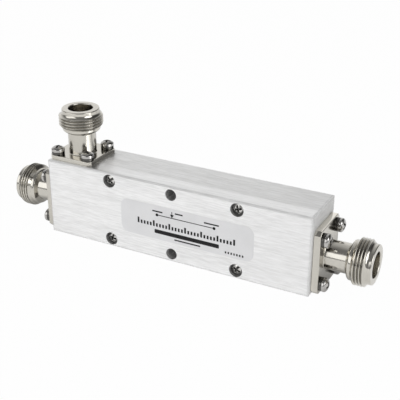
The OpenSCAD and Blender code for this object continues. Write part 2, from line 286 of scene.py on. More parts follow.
def rounded_profile(corners, radii, steps=6):
    """A polyline whose inner corners are arcs: an arc touches both sides of its corner, at radius /
    tan(half angle) from the corner, and its points turn evenly from one touching point to the
    other."""
    corners = np.asarray(corners, float)
    parts = [corners[:1]]
    for before, corner, after, radius in zip(corners, corners[1:], corners[2:], radii):
        if radius == 0:
            parts.append(corner[None])
            continue
        to_before, to_after = unit(before - corner), unit(after - corner)
        half = math.acos(np.clip(to_before @ to_after, -1, 1)) / 2
        centre = corner + unit(to_before + to_after) * radius / math.sin(half)
        first = corner + to_before * radius / math.tan(half) - centre
        last = corner + to_after * radius / math.tan(half) - centre
        sweep = math.pi - 2 * half
        t = np.linspace(0, 1, steps + 1)[:, None]
        spokes = np.sin((1 - t) * sweep) * first + np.sin(t * sweep) * last
        parts.append(centre + spokes / math.sin(sweep))
    parts.append(corners[-1:])
    return np.concatenate(parts)


def revolve(radius, height, turn):
    """Points at radius from the Z axis: X is radius times the turn's cosine, Y is radius times its
    sine."""
    radius, height, turn = np.broadcast_arrays(radius, height, turn)
    return np.stack([radius * np.cos(turn), radius * np.sin(turn), height], -1)


def run_length(profile):
    """Distance along a polyline to each of its points."""
    steps = np.linalg.norm(np.diff(profile, axis=0), axis=1)
    return np.concatenate([[0.0], np.cumsum(steps)])


def grid_faces(rows, columns, start):
    """Four-cornered faces of a grid whose points are numbered row by row from start."""
    index = start + np.arange(rows * columns).reshape(rows, columns)
    corners = [index[:-1, :-1], index[:-1, 1:], index[1:, 1:], index[1:, :-1]]
    return np.stack(corners, -1).reshape(-1, 4)


def grid_marks(grid, along=0.0, sunk=0.0):
    """Two marks for each point of a grid: its place along the turned outline, and how far it lies
    sunk, 0 to 1, which sets the painted shade of grooves and recesses."""
    marks = [np.broadcast_to(mark, grid.shape[:2]) for mark in (along, sunk)]
    return np.stack(marks, -1).reshape(-1, 2)


def join_grids(grids):
    """Points, faces and marks of several grids. Points that coincide become one, which closes the
    seams and poles, and a face that loses a corner to that becomes a triangle."""
    counts = [grid.shape[0] * grid.shape[1] for grid, *_ in grids]
    starts = np.concatenate([[0], np.cumsum(counts)[:-1]])
    points = np.concatenate([grid.reshape(-1, 3) for grid, *_ in grids])
    marks = np.concatenate([grid_marks(*grid) for grid in grids])
    faces = np.concatenate([
        grid_faces(*grid.shape[:2], start) for (grid, *_), start in zip(grids, starts)
    ])
    keys = np.round(points / WELD).astype(np.int64)
    _, first, back = np.unique(keys, axis=0, return_index=True, return_inverse=True)
    faces = back.reshape(-1)[faces]
    same = faces == np.roll(faces, -1, axis=1)
    fours = faces[~same.any(1)]
    lost = faces[same.sum(1) == 1]
    at = same[same.sum(1) == 1].argmax(1)
    threes = np.take_along_axis(lost, (at[:, None] + np.array([1, 2, 3])) % 4, axis=1)
    return points[first], fours, threes, marks[first]


def signed_volume(points, triangles):
    """Volume enclosed by triangles: a sixth of the sum of their triple products, negative if they
    face in."""
    a, b, c = (points[triangles[:, k]] for k in range(3))
    return np.einsum("ij,ij->", a, np.cross(b, c)) / 6


def place(grids, matrix):
    """The same grids in the object's frame: each point is turned and moved by the matrix."""
    return [(grid @ matrix[:3, :3].T + matrix[:3, 3], *marks) for grid, *marks in grids]


def turned_at(x, y, height, turn):
    """Matrix that turns a part about its own axis and sets it at a local place."""
    return np.array(Matrix.Translation((x, y, height)) @ Matrix.Rotation(turn, 4, "Z"))


def smooth_mesh(name, points, fours, threes, material):
    """A mesh of four- and three-cornered faces with smooth shading and one material."""
    mesh = bpy.data.meshes.new(name)
    mesh.from_pydata(points.tolist(), [], fours.tolist() + threes.tolist())
    mesh.polygons.foreach_set("use_smooth", np.ones(len(mesh.polygons), bool))
    mesh.materials.append(material)
    return mesh


def link_object(name, data):
    """An object with the given data, put into the scene."""
    made = bpy.data.objects.new(name, data)
    bpy.context.scene.collection.objects.link(made)
    return made


def add_piece(name, grids, material, nodes=(), sharp=35):
    """Makes one closed mesh of the grids, which are already in the object's frame, and sets it on
    the body."""
    points, fours, threes, marks = join_grids(grids)
    triangles = np.concatenate([threes, fours[:, :3], fours[:, [0, 2, 3]]])
    if signed_volume(points, triangles) <= 0:
        raise RuntimeError(f"{name} is not closed or faces inwards")
    mesh = smooth_mesh(name, points * MM, fours, threes, material)
    for key, values in zip(("along", "sunk"), np.ascontiguousarray(marks.T, np.float32)):
        mesh.attributes.new(key, "FLOAT", "POINT").data.foreach_set("value", values)
    mesh.set_sharp_from_angle(angle=math.radians(sharp))
    piece = link_object(name, mesh)
    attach(piece, BODY)
    if nodes:
        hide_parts(*nodes)


# Jack shells

TURN_STEPS = 192
THREAD_ROWS = 144
EDGE_STEPS = 4
OUTLINE_STEPS = 8
FACE_ROWS = 3
SHELL_SHARP = 30

# Each jack's thread: its start, as a share of a turn, and its groove's run-out below it
THREAD_LEAD = {"input": 0.1, "output": 0.46, "coupled": -0.11}
THREAD_RUNOUT = {"input": 0.6, "output": 0.0, "coupled": 0.6}
GROOVE_GROWTH = 0.15  # length over which the groove reaches its depth
GROOVE_SHADE_RANGE = (0.3, 0.8)  # shares of the groove's depth between which painted shade darkens it

NECK_END_ROUND = 0.06
SHOULDER_ROUND = 0.9
SOCKET_FLOOR_ROUND = 0.15
BORE_MOUTH_ROUND = 0.1

# Stations down a jack's axis from the nose's end, each with the span that lies above it
STATIONS = (
    ("nose_start", "nose_len"), ("thread_end", "nose_cone"), ("thread_start", "thread_len"),
    ("shoulder_end", "thread_cone"), ("shoulder_start", "shoulder_len"),
    ("neck_end", "shoulder_cone"),
)


def jack_sizes(group, jack):
    """One jack's sizes in millimetres: the common ones, those of its flange as its solids give
    them, and the stations along its axis that follow from both."""
    size = millimetres(group)
    low, high = local_box(f"{jack}_jack_shell", jack_frame(jack))
    washer_low, washer_high = local_box(f"{jack}_lock_washers", jack_frame(jack))
    size["long_side"], size["width"] = (high - low)[:2]
    if jack == "coupled":
        size["long_pitch"] = size["square_pitch"]
    size["lead"], size["runout"] = THREAD_LEAD[jack], THREAD_RUNOUT[jack]
    size["flange_t"], size["seat"] = washer_low[2], washer_high[2]
    station = size["nose_end"] = high[2]
    for lower, span in STATIONS:
        station = size[lower] = station - size[span]
    taper = math.atan2(size["thread_r"] - size["nose_r"], size["nose_cone"])
    size["cove_end"] = size["nose_start"] + size["cove_r"] * math.tan(taper / 2)
    return size


def flange_outline(half_long, half_wide, cut, inset):
    """A quarter of the flange's edge, from its long end on local X to its side on local Y: three
    straight stretches, each moved in by inset, so that a corner moves by inset along the mitre of
    its two sides."""
    corners = np.array([
        (half_long, 0), (half_long, half_wide - cut), (half_long - cut, half_wide), (0, half_wide),
    ])
    mitre = math.tan(math.pi / 8)
    corners = corners - inset * np.array([(1, 0), (1, mitre), (mitre, 1), (0, 1)])
    return np.concatenate([straight_runs(corners, OUTLINE_STEPS), corners[-1:]])


def quarter_face(outline, inner_r, hole, hole_r, height):
    """A quarter of the flange's face at one height: straight rays from the screw hole's rim to the
    quarter's border, which runs out along X, round the edge, in along Y and back round the centre's
    circle."""
    along_x = straight_runs(np.array([(inner_r, 0), outline[0]]), OUTLINE_STEPS)
    along_y = straight_runs(np.array([outline[-1], (0, inner_r)]), OUTLINE_STEPS)
    arc = circle(inner_r, np.linspace(QUARTER_TURN, 0, TURN_STEPS // 4 + 1))
    border = np.concatenate([along_x, outline[:-1], along_y, arc])
    ray = border - hole
    rim = hole + hole_r * ray / np.linalg.norm(ray, axis=1, keepdims=True)
    flat = rim + (border - rim) * np.linspace(0, 1, FACE_ROWS)[:, None, None]
    return np.concatenate([flat, np.full(flat.shape[:2] + (1,), height)], -1)


def flange_grids(size, inner_r):
    """The flange plate as four mirrored quarters: upper and lower face, hole wall, and an edge
    whose upper corner is a quarter round and whose lower corner is cut by half as much."""
    thick, edge, hole_r = size["flange_t"], size["edge_round"], size["hole_r"]
    sides = (size["long_side"] / 2, size["width"] / 2, size["corner_cut"])
    hole = np.array([size["long_pitch"] / 2, size["square_pitch"] / 2])
    bend = np.linspace(0, QUARTER_TURN, EDGE_STEPS + 1)
    insets = np.concatenate([[edge / 2, 0], edge * (1 - np.cos(bend))])
    heights = np.concatenate([[0, edge / 2], thick - edge + edge * np.sin(bend)])
    wall = np.stack([
        np.pad(flange_outline(*sides, inset), ((0, 0), (0, 1)), constant_values=height)
        for inset, height in zip(insets, heights)
    ])
    upper = quarter_face(flange_outline(*sides, edge), inner_r, hole, hole_r, thick)
    lower = quarter_face(flange_outline(*sides, edge / 2), size["bore_r"], hole, hole_r, 0)
    quarter = [upper[::-1], lower, np.stack([upper[0], lower[0]]), wall]
    grids = []
    for mirror in ((1, 1), (-1, 1), (-1, -1), (1, -1)):
        for grid in quarter:
            turned = grid * np.array([*mirror, 1])
            grids.append(turned if mirror[0] == mirror[1] else turned[:, ::-1])
    return [(grid, np.linalg.norm(grid[..., :2], axis=-1)) for grid in grids]


def thread_grid(size, turn):
    """The coupling thread, from the shoulder to the end of the cove behind the nose: the smaller of
    the turned outline and a helical groove. The groove's depth follows a wave of height / pitch -
    turn / one full turn, which is a right-hand thread, and it grows from nothing at the run-out's
    length before the thread."""
    start = [(size["shoulder_r"], size["shoulder_end"]), (size["thread_r"], size["thread_start"])]
    cove = rounded_profile(
        [(size["thread_r"], size["thread_end"]), (size["nose_r"], size["nose_start"]),
         (size["nose_r"], size["nose_end"])],
        [size["cove_r"]],
    )
    profile = np.concatenate([start, cove[:-1]])
    height = np.linspace(size["shoulder_end"], size["cove_end"], THREAD_ROWS)[:, None]
    outline = np.interp(height, profile[:, 1], profile[:, 0])
    phase = height / size["thread_pitch"] - turn / FULL_TURN + size["lead"]
    wave = (1 - np.cos(FULL_TURN * phase)) / 2
    wave = wave * np.clip((height - size["thread_start"] + size["runout"]) / GROOVE_GROWTH, 0, 1)
    groove = size["thread_r"] - size["thread_depth"] * wave
    # How far the groove lies sunk, which sets its painted shade
    sunk = np.interp(wave, GROOVE_SHADE_RANGE, (0, 1)) * (groove < outline)
    return revolve(np.minimum(outline, groove), height, turn), height, sunk


def jack_grids(size):
    """A whole jack shell: flange, then the turned outline from the flange up the neck, over the
    nose and down the socket to the bore's lower end."""
    turn = np.linspace(0, FULL_TURN, TURN_STEPS + 1)[None]
    foot = size["neck_r"] + 2 * size["foot_round"]
    shelf = size["nose_end"] - size["socket_depth"]
    neck = rounded_profile(
        [(foot, size["flange_t"]), (size["neck_r"], size["flange_t"]),
         (size["neck_r"], size["neck_end"]), (size["shoulder_r"], size["shoulder_start"]),
         (size["shoulder_r"], size["shoulder_end"])],
        [size["foot_round"], NECK_END_ROUND, SHOULDER_ROUND],
    )
    nose = rounded_profile(
        [(size["nose_r"], size["cove_end"]), (size["nose_r"], size["nose_end"]),
         (size["socket_r"], size["nose_end"]), (size["socket_r"], shelf), (size["bore_r"], shelf),
         (size["bore_r"], 0)],
        [size["rim_round"], size["rim_round"], SOCKET_FLOOR_ROUND, BORE_MOUTH_ROUND],
    )
    grids = flange_grids(size, foot)
    grids.append((revolve(neck[:, :1], neck[:, 1:], turn), run_length(neck)[:, None]))
    grids.append(thread_grid(size, turn))
    nose_along = run_length(nose)[:, None] + size["cove_end"]
    grids.append((revolve(nose[:, :1], nose[:, 1:], turn), nose_along))
    return grids


# Screws and washers

# Turn of each cover screw's recess, in degrees, by the screw's side and height on the cover
COVER_SCREWS = {(-1, -1): 77, (-1, 1): 40, (1, -1): 64, (1, 1): 15}
# Turn of the flange screws' recesses, in radians: at first, from screw to screw, from jack to jack
FIRST_TURN, SCREW_TURN, JACK_TURN = 0.4, 1.1, 0.7

TIP_CUT, TIP_LEN = 0.25, 0.4
SEAT_ROUND, HEAD_ROUND = 0.1, 0.55
CROWN_INSET = 0.45
RECESS_MARGIN = 0.06  # rim of the head's crown around the recess
RECESS_LIP = 0.05  # depth of the recess's first row below the crown
RECESS_RISE = 0.55  # share of its depth that the recess loses at the end of an arm
CROWN_ROWS = (0.3, 0.6, 0.85, 1.0)
RECESS_ROWS = (0.97, 0.86, 0.5, 0.0)
RECESS_SHADE_ROWS = (0.5, 1.0, 1.0, 1.0)
# How much painted shade each row of the cross recess takes
ARM_STEPS = 5
WASHER_BEVEL, WASHER_BEVEL_STEPS, WASHER_STEPS = 0.08, 3, 73


def cross_outline(arm, half):
    """Outline of a cross recess, once round: a quarter is the end of one arm and the two sides up
    to the next arm, and the other quarters are the same points turned by 90 degrees."""
    corners = np.array([(arm, -half), (arm, half), (half, half), (half, arm)])
    quarter = straight_runs(corners, ARM_STEPS)
    turned = [quarter, quarter[:, ::-1] * (-1, 1), -quarter, quarter[:, ::-1] * (1, -1)]
    return np.concatenate([*turned, quarter[:1]])


def screw_grids(size, kind):
    """A pan-head screw as one polar grid, from the shank's tip to the middle of the recess. The
    crown is part of a sphere. The rows of the recess follow the cross: their radius is a share of
    the cross's own radius in that direction, and their floor rises evenly from the middle to the
    end of an arm."""
    head_r, head_h, shank_l = (size[f"{kind}_{part}"] for part in ("head_r", "head_h", "shank_l"))
    outline = cross_outline(size["arm"], size["arm_half"])
    reach = np.linalg.norm(outline, axis=1)
    direction = outline / reach[:, None]
    rim_h = head_h / 2
    dome_r = (head_r ** 2 + rim_h ** 2) / (2 * rim_h)

    def dome(radius):
        return head_h - dome_r + np.sqrt(dome_r ** 2 - radius ** 2)

    def floor(radius):
        return head_h - size["recess"] * (1 - RECESS_RISE * radius / size["arm"])

    crown_r, shank_r = head_r - CROWN_INSET, size["shank_r"]
    body = rounded_profile(
        [(0, -shank_l), (shank_r - TIP_CUT, -shank_l), (shank_r, TIP_LEN - shank_l), (shank_r, 0),
         (head_r, 0), (head_r, rim_h), (crown_r, dome(crown_r))],
        [0, 0, 0, SEAT_ROUND, HEAD_ROUND],
    )
    crown = crown_r + (reach + RECESS_MARGIN - crown_r) * np.array(CROWN_ROWS)[:, None]
    pit = reach * np.array(RECESS_ROWS)[:, None]
    pit_h = np.concatenate([dome(reach)[None] - RECESS_LIP, floor(pit[1:])])
    radius = np.concatenate([np.repeat(body[:, :1], len(reach), 1), crown, pit])
    height = np.concatenate([np.repeat(body[:, 1:], len(reach), 1), dome(crown), pit_h])
    sunk = np.concatenate([np.zeros(len(body) + len(crown)), RECESS_SHADE_ROWS])[:, None]
    return [(np.concatenate([radius[..., None] * direction, height[..., None]], -1), 0.0, sunk)]


def washer_grids(size):
    """A split lock washer: a rounded rectangle carried once round, less the split, while it rises
    evenly. A row drawn together to its middle closes each end."""
    inner, outer, thick = size["washer_bore"], size["washer_r"], size["washer_t"]
    start = (inner, thick / 2)
    corners = [start, (inner, 0), (outer, 0), (outer, thick), (inner, thick), start]
    section = rounded_profile(corners, [WASHER_BEVEL] * 4, WASHER_BEVEL_STEPS)
    middle = np.array([(inner + outer) / 2, thick / 2])
    gap = size["washer_split"] / (inner + outer)
    turn = np.linspace(gap, FULL_TURN - gap, WASHER_STEPS)
    turn = np.concatenate([turn[:1], turn, turn[-1:]])[:, None]
    spread = np.ones(len(turn))
    spread[[0, -1]] = 0
    profile = middle + (section - middle) * spread[:, None, None]
    rise = size["washer_rise"] * turn / FULL_TURN
    grid = revolve(profile[..., 0], profile[..., 1] + rise, turn)
    return [(grid[:, ::-1],)]


def screw_places(size):
    """Local places of a flange's four screws."""
    across, along = size["square_pitch"] / 2, size["long_pitch"] / 2
    return [(sx * along, sy * across) for sx in (-1, 1) for sy in (-1, 1)]


# Label: places and sizes of its marks, in millimetres from the field's middle

PRINT_SINK = 0.02  # how far a print reaches below the face that it lies on
BAR_ROUND, BAR_STEPS = 0.08, 3
SIGNAL_UP = 2.9
DOT_R, DOT_STEPS = 0.55, 25
ARROW_STEM = (-5.1, 4.1, 0.26, 2.4)
ARROW_TIP, ARROW_TIP_AT = ((0.75, 0.55), (-0.75, 0.55), (0.0, -0.75), (0.75, 0.55)), (-5.1, 3.7)
SCALE_UP, STROKE_W, LONG_STROKE_EVERY, SHORT_STROKE = -0.6, 0.7, 5, 0.6
BAND_AT, BAND_ROUND = (0.4, -3.5), 0.3
THIN_BARS = ((-10.8, 4.2, 4.0), (-2.4, 4.9, 3.0), (10.0, 4.2, 5.6), (0.8, -5.2, 10.0))
THIN_BAR_H = 0.5
TILES, TILE_AT, TILE_STEP, TILE_SIZE = 7, (15.4, -5.0), 1.05, (0.55, 0.8)


def round_rectangle(wide, high, radius, steps=6):
    """Points once round a rectangle with quarter-round corners, anticlockwise from the right-hand
    side."""
    arc = circle(radius, np.linspace(0, QUARTER_TURN, steps + 1))
    corner = np.array([wide / 2 - radius, high / 2 - radius])
    upper_left = arc[::-1] * (-1, 1) + corner * (-1, 1)
    lower_right = arc[::-1] * (1, -1) + corner * (1, -1)
    return np.concatenate([arc + corner, upper_left, -arc - corner, lower_right, arc[:1] + corner])


def plate_grid(outline, low, high, at=(0.0, 0.0)):
    """A thin closed plate: its outline at two heights, and at each end the outline drawn together
    to its middle."""
    middle = (outline.min(0) + outline.max(0)) / 2
    spread = np.array([0, 1, 1, 0])[:, None, None]
    flat = middle + (outline - middle) * spread + np.asarray(at)
    height = np.repeat(np.array([low, low, high, high])[:, None], len(outline), 1)
    return (np.concatenate([flat, height[..., None]], -1),)


def label_field(size):
    """The field: a rounded rectangle that stands out of the cover by the film's thickness."""
    outline = round_rectangle(size["field_l"], size["field_h"], size["field_r"])
    return plate_grid(outline, -PRINT_SINK, size["film"])


def label_marks(size, strokes):
    """The marks: a signal line between two dots, an arrow on it, a row of strokes with every fifth
    one long, a band, thin bars and a row of small tiles. Each stands out of the field by the ink's
    thickness."""
    def plate(outline, x, y):
        return plate_grid(outline, size["film"] - PRINT_SINK, size["film"] + size["ink"], (x, y))

    def bar(x, y, wide, high, radius=BAR_ROUND):
        return plate(round_rectangle(wide, high, radius, BAR_STEPS), x, y)

    line, row, long_stroke = size["signal_l"], size["scale_l"], size["scale_h"]
    dot = circle(DOT_R, np.linspace(0, FULL_TURN, DOT_STEPS))
    marks = [bar(0, SIGNAL_UP, line, size["signal_h"]), bar(*ARROW_STEM)]
    marks.append(plate(np.array(ARROW_TIP), *ARROW_TIP_AT))
    marks += [plate(dot, side * line / 2, SIGNAL_UP) for side in (-1, 1)]
    foot = SCALE_UP - long_stroke / 2
    for count in range(strokes):
        high = long_stroke if count % LONG_STROKE_EVERY == 0 else long_stroke * SHORT_STROKE
        marks.append(bar(count * row / (strokes - 1) - row / 2, foot + high / 2, STROKE_W, high))
    marks.append(bar(*BAND_AT, size["band_l"], size["band_h"], BAND_ROUND))
    marks += [bar(*thin, THIN_BAR_H) for thin in THIN_BARS]
    marks += [bar(TILE_AT[0] + TILE_STEP * count, TILE_AT[1], *TILE_SIZE) for count in range(TILES)]
    return marks


# Shader tools

class Wiring:
    """Adds nodes to a node tree and joins them."""

    def __init__(self, tree):
        self.tree = tree

    def join(self, value, socket):
        """Joins a socket to another, or sets it to a value."""
        if isinstance(value, bpy.types.NodeSocket):
            self.tree.links.new(value, socket)
        else:
            socket.default_value = value

    def node(self, kind, inputs=None, **settings):
        """A node with its settings, and with each input set to a value or joined to a socket."""
        made = self.tree.nodes.new(kind)
        for key, value in settings.items():
            setattr(made, key, value)
        for key, value in (inputs or {}).items():
            self.join(value, made.inputs[key])
        return made

    def math(self, operation, *values):
        """The result of a Math node."""
        inputs = dict(enumerate(values))
        return self.node("ShaderNodeMath", inputs, operation=operation).outputs[0]

    def vector(self, operation, *values):
        """The result of a Vector Math node."""
        inputs = dict(enumerate(values))
        return self.node("ShaderNodeVectorMath", inputs, operation=operation).outputs[0]

    def split(self, vector):
        """The three parts of a vector."""
        return self.node("ShaderNodeSeparateXYZ", {0: vector}).outputs

    def combine(self, *parts):
        """A vector of the given parts."""
        return self.node("ShaderNodeCombineXYZ", dict(enumerate(parts))).outputs[0]

    def ramp(self, value, from_low, from_high, to_low=0.0, to_high=1.0):
        """A value carried from one range to another and held inside it."""
        inputs = {
            "Value": value, "From Min": from_low, "From Max": from_high,
            "To Min": to_low, "To Max": to_high,
        }
        return self.node("ShaderNodeMapRange", inputs).outputs["Result"]

    def mix(self, factor, low, high):
        """A number between two numbers."""
        return self.node("ShaderNodeMix", {0: factor, 2: low, 3: high}).outputs[0]

    def blend(self, factor, low, high):
        """A colour between two colours."""
        return self.node("ShaderNodeMix", {0: factor, 6: low, 7: high}, data_type="RGBA").outputs[2]

    def noise(self, dimensions="3D", **inputs):
        """The value of a Noise Texture."""
        return self.node("ShaderNodeTexNoise", inputs, noise_dimensions=dimensions).outputs[0]

    def coordinates(self):
        """A piece's own coordinates and normal."""
        return self.node("ShaderNodeTexCoord").outputs

    def mark(self, name):
        """A mark that a piece's points carry."""
        settings = {"attribute_name": name, "attribute_type": "GEOMETRY"}
        return self.node("ShaderNodeAttribute", **settings).outputs["Fac"]

    def group(self, wire, **inputs):
        """The outputs of a shared node group placed in this tree."""
        return self.node("ShaderNodeGroup", inputs, node_tree=shared_group(wire)).outputs


SCORE_SHIFT = (7.3, 3.1, 5.7)  # moves the single scores off the strokes' own pattern
SCORE_RANGE = (0.58, 0.70)
TRACE_RANGE = (0.42, 0.68)
GRAIN_DENSITY = 30.0  # grains to one patch of handling


def brush_strokes(w, given):
    """Brush lines: noise stretched along one direction, as fine strokes, broad bands and a few
    single scores. Run and Across are the pattern's density along and across the strokes, per metre;
    Turned swaps X and Y."""
    part = w.split(given["Vector"])
    run = w.mix(given["Turned"], part[0], part[1])
    side = w.mix(given["Turned"], part[1], part[0])
    stretched = w.combine(
        w.math("MULTIPLY", run, given["Run"]),
        w.math("MULTIPLY", side, given["Across"]),
        w.math("MULTIPLY", part[2], given["Across"]),
    )
    apart = w.vector("ADD", stretched, SCORE_SHIFT)
    return {
        "Strokes": w.noise(Vector=stretched, Scale=1.0, Detail=5.0, Roughness=0.62),
        "Bands": w.noise(Vector=stretched, Scale=0.17, Detail=2.0, Roughness=0.5),
        "Scores": w.ramp(w.noise(Vector=apart, Scale=0.8, Detail=1.0, Roughness=0.5), *SCORE_RANGE),
    }


def turning_marks(w, given):
    """Turning marks: noise of one dimension along the turned outline, so that it makes rings."""
    along = w.math("MULTIPLY", given["Along"], given["Density"])
    return {"Rings": w.noise("1D", W=along, Scale=1.0, Detail=3.0)}


def handling_traces(w, given):
    """Traces of handling: patches of noise, from none to full, and a fine grain."""
    grain_density = w.math("MULTIPLY", given["Density"], GRAIN_DENSITY)
    patches = w.noise(Vector=given["Vector"], Scale=given["Density"], Detail=3.0)
    return {
        "Traces": w.ramp(patches, *TRACE_RANGE),
        "Grain": w.noise(Vector=given["Vector"], Scale=grain_density, Detail=2.0),
    }


# Inputs and outputs of the shared node groups
SHARED_GROUPS = {
    brush_strokes: (("Vector", "Run", "Across", "Turned"), ("Strokes", "Bands", "Scores")),
    turning_marks: (("Along", "Density"), ("Rings",)),
    handling_traces: (("Vector", "Density"), ("Traces", "Grain")),
}


def shared_group(wire):
    """The node group that a function wires, named after it and made the first time that a material
    asks for it. Its Vector is a vector, and its other sockets are numbers."""
    name = wire.__name__
    if name in bpy.data.node_groups:
        return bpy.data.node_groups[name]
    tree = bpy.data.node_groups.new(name, "ShaderNodeTree")
    for side, keys in zip(("INPUT", "OUTPUT"), SHARED_GROUPS[wire]):
        for key in keys:
            kind = "NodeSocketVector" if key == "Vector" else "NodeSocketFloat"
            tree.interface.new_socket(key, in_out=side, socket_type=kind)
    w = Wiring(tree)
    w.node("NodeGroupOutput", wire(w, w.node("NodeGroupInput").outputs))
    return tree


# Finishes

# Parts of the normal above which a face is one of the block's ends, its top, or a flange's end
END_FACING, TOP_FACING, FLANGE_END_FACING = 0.7, 0.99, 0.9
EDGE_FACING = (0.95, 0.999)  # largest part of the normal on a broken edge and on a flat face

# How far a part of a finish is carried to another shade of its own colour: share, and shade
SCORE_TONE = (0.5, 0.78)
# painted shade on the block's two end faces
END_SHADE_TONE = (0.32, 0.5)
# painted shade inside the holes
HOLE_SHADE_TONE = (1.0, 0.08)
# painted shade in the thread grooves
GROOVE_SHADE_TONE = (0.6, 0.2)
# painted light on the end flanges' upper and lower ends
FLANGE_END_LIGHT_TONE = (1.0, 1.5)
# painted shade in the screws' cross recesses
RECESS_SHADE = 0.05

# Brushed aluminium
BRUSH_RUN, BRUSH_TRACES = 170.0, 45.0
STROKE_SHARE, TONE_RANGE, TONE_SHADES = 0.75, (0.36, 0.64), (0.80, 1.04)
GLOSS_SPREAD, ACROSS_STROKES = 0.75, 0.25
EDGE_METALLIC = 0.2
TRACE_DULL, END_DULL, EDGE_DULL = 0.03, 0.35, 0.25
GLOSS_RANGE = (0.3, 0.7)  # values of the strokes and rings between which the gloss changes
BRUSH_BUMP = (0.25, 2e-5)

# Turned nickel
RING_DENSITY, NICKEL_TRACES = 9.0, 160.0
NICKEL_SHADES = (1.06, 0.92)
NICKEL_ROUGH, NICKEL_TRACE_DULL = (0.10, 0.17), 0.05
RING_BUMP = (0.12, 1.5e-5)

# Grained finishes
GRAIN_RANGE, GRAIN_HEIGHT = (0.1, 0.9), 1e-5
SCREW_GRAIN = {"density": 420.0, "spread": 0.2}

# Holes in the cover: radius in millimetres, and how dark painted shade makes them inside
MOUNT_HOLE_R, MOUNT_HOLE_SHADE = 2.1, 0.2
COUNTERBORE_R, COUNTERBORE_SHADE = 2.4, 0.5
HOLE_MARGIN, BACK_MARGIN = 0.03, 0.2


def shaded(tint, factor):
    """A colour made darker or lighter, with full opacity."""
    return (*[min(1.0, part * factor) for part in tint], 1.0)


def toned(w, base, mask, tint, share_of_mask, shade):
    """A colour carried towards a shade of the tint by a share of the mask."""
    return w.blend(w.math("MULTIPLY", mask, share_of_mask), base, shaded(tint, shade))


def new_material(name, **sockets):
    """A material with a Principled shader whose constant sockets are set, its wiring and the
    shader."""
    material = bpy.data.materials.new(name)
    material.use_nodes = True
    shader = material.node_tree.nodes["Principled BSDF"]
    for key, value in sockets.items():
        shader.inputs[key.replace("_", " ")].default_value = value
    return material, Wiring(material.node_tree), shader


def finish_surface(w, shader, base, roughness, height, strength, distance):
    """Joins a colour, a roughness and, through a Bump node, a height to a shader."""
    bump = w.node("ShaderNodeBump", {"Height": height, "Strength": strength, "Distance": distance})
    w.join(base, shader.inputs["Base Color"])
    w.join(roughness, shader.inputs["Roughness"])
    w.join(bump.outputs[0], shader.inputs["Normal"])


def hole_shade_mask(w, place_vector):
    """Painted shade inside the holes that run back from the cover's front: a share where the
    distance from the nearest hole's axis is no more than the hole's radius, and nought on the
    block's back. The holes lie evenly on both sides of the cover screws' common middle."""
    middle, reach = cover_screw_places(bpy.context.scene.coupler_screw.cover_head_r / MM)
    part = w.split(w.vector("SUBTRACT", place_vector, middle * MM))
    up = w.math("SUBTRACT", w.math("ABSOLUTE", part[2]), reach[2] * MM)
    holes = ((0.0, MOUNT_HOLE_R, MOUNT_HOLE_SHADE), (reach[0], COUNTERBORE_R, COUNTERBORE_SHADE))
    masks = []
    for centre, radius, dark in holes:
        side = w.math("SUBTRACT", w.math("ABSOLUTE", part[0]), centre * MM)
        square = w.math("ADD", w.math("MULTIPLY", side, side), w.math("MULTIPLY", up, up))
        inside = w.math("LESS_THAN", w.math("SQRT", square), (radius + HOLE_MARGIN) * MM)
        masks.append(w.math("MULTIPLY", inside, dark))
    before_back = w.math("LESS_THAN", part[1], (HOUSING_HIGH[1] - BACK_MARGIN - middle[1]) * MM)
    return w.math("MULTIPLY", w.math("MAXIMUM", *masks), before_back)


def brushed_aluminium(name, tint, across, rough, top_gloss):
    """Aluminium brushed along the block, so that its gloss spreads across the strokes, duller on
    the two end faces and darkened there by painted shade, glossier on top, matt on the broken
    edges, and darkened inside the holes by painted shade."""
    material, w, shader = new_material(name, Anisotropic_Rotation=ACROSS_STROKES)
    coordinate = w.coordinates()
    facing = w.split(w.vector("ABSOLUTE", coordinate["Normal"]))
    on_end = w.math("GREATER_THAN", facing[0], END_FACING)
    on_top = w.math("GREATER_THAN", facing[2], TOP_FACING)
    most = w.math("MAXIMUM", facing[0], w.math("MAXIMUM", facing[1], facing[2]))
    on_edge = w.ramp(most, *EDGE_FACING, 1.0, 0.0)
    even = w.math("MAXIMUM", on_end, on_edge)
    w.join(w.combine(w.math("SUBTRACT", 1.0, on_end), on_end), shader.inputs["Tangent"])
    w.join(w.ramp(even, 0.0, 1.0, GLOSS_SPREAD, 0.0), shader.inputs["Anisotropic"])

    brush = w.group(
        brush_strokes, Vector=coordinate["Object"], Run=BRUSH_RUN, Across=across, Turned=on_end
    )
    traces = w.group(handling_traces, Vector=coordinate["Object"], Density=BRUSH_TRACES)
    tone = w.ramp(w.mix(STROKE_SHARE, brush["Bands"], brush["Strokes"]), *TONE_RANGE)
    base = w.blend(tone, *[shaded(tint, shade) for shade in TONE_SHADES])
    base = toned(w, base, brush["Scores"], tint, *SCORE_TONE)
    # Painted shade: the two end faces are darkened
    base = toned(w, base, on_end, tint, *END_SHADE_TONE)
    # Painted shade darkens the insides of the holes
    painted_shade_in_hole = hole_shade_mask(w, coordinate["Object"])
    base = toned(w, base, painted_shade_in_hole, tint, *HOLE_SHADE_TONE)
    matt = w.math("MULTIPLY", on_edge, w.math("LESS_THAN", painted_shade_in_hole, 0.01))
    w.join(w.ramp(matt, 0.0, 1.0, 1.0, EDGE_METALLIC), shader.inputs["Metallic"])

    dull = w.math(
        "MAXIMUM", w.math("MULTIPLY", on_end, END_DULL), w.math("MULTIPLY", on_edge, EDGE_DULL)
    )
    roughness = w.ramp(brush["Strokes"], *GLOSS_RANGE, *rough)
    roughness = w.math("MULTIPLY_ADD", traces["Traces"], TRACE_DULL, roughness)
    roughness = w.math("ADD", roughness, dull)
    roughness = w.math("MULTIPLY_ADD", on_top, -top_gloss, roughness)
    finish_surface(w, shader, base, roughness, brush["Strokes"], *BRUSH_BUMP)
    return material


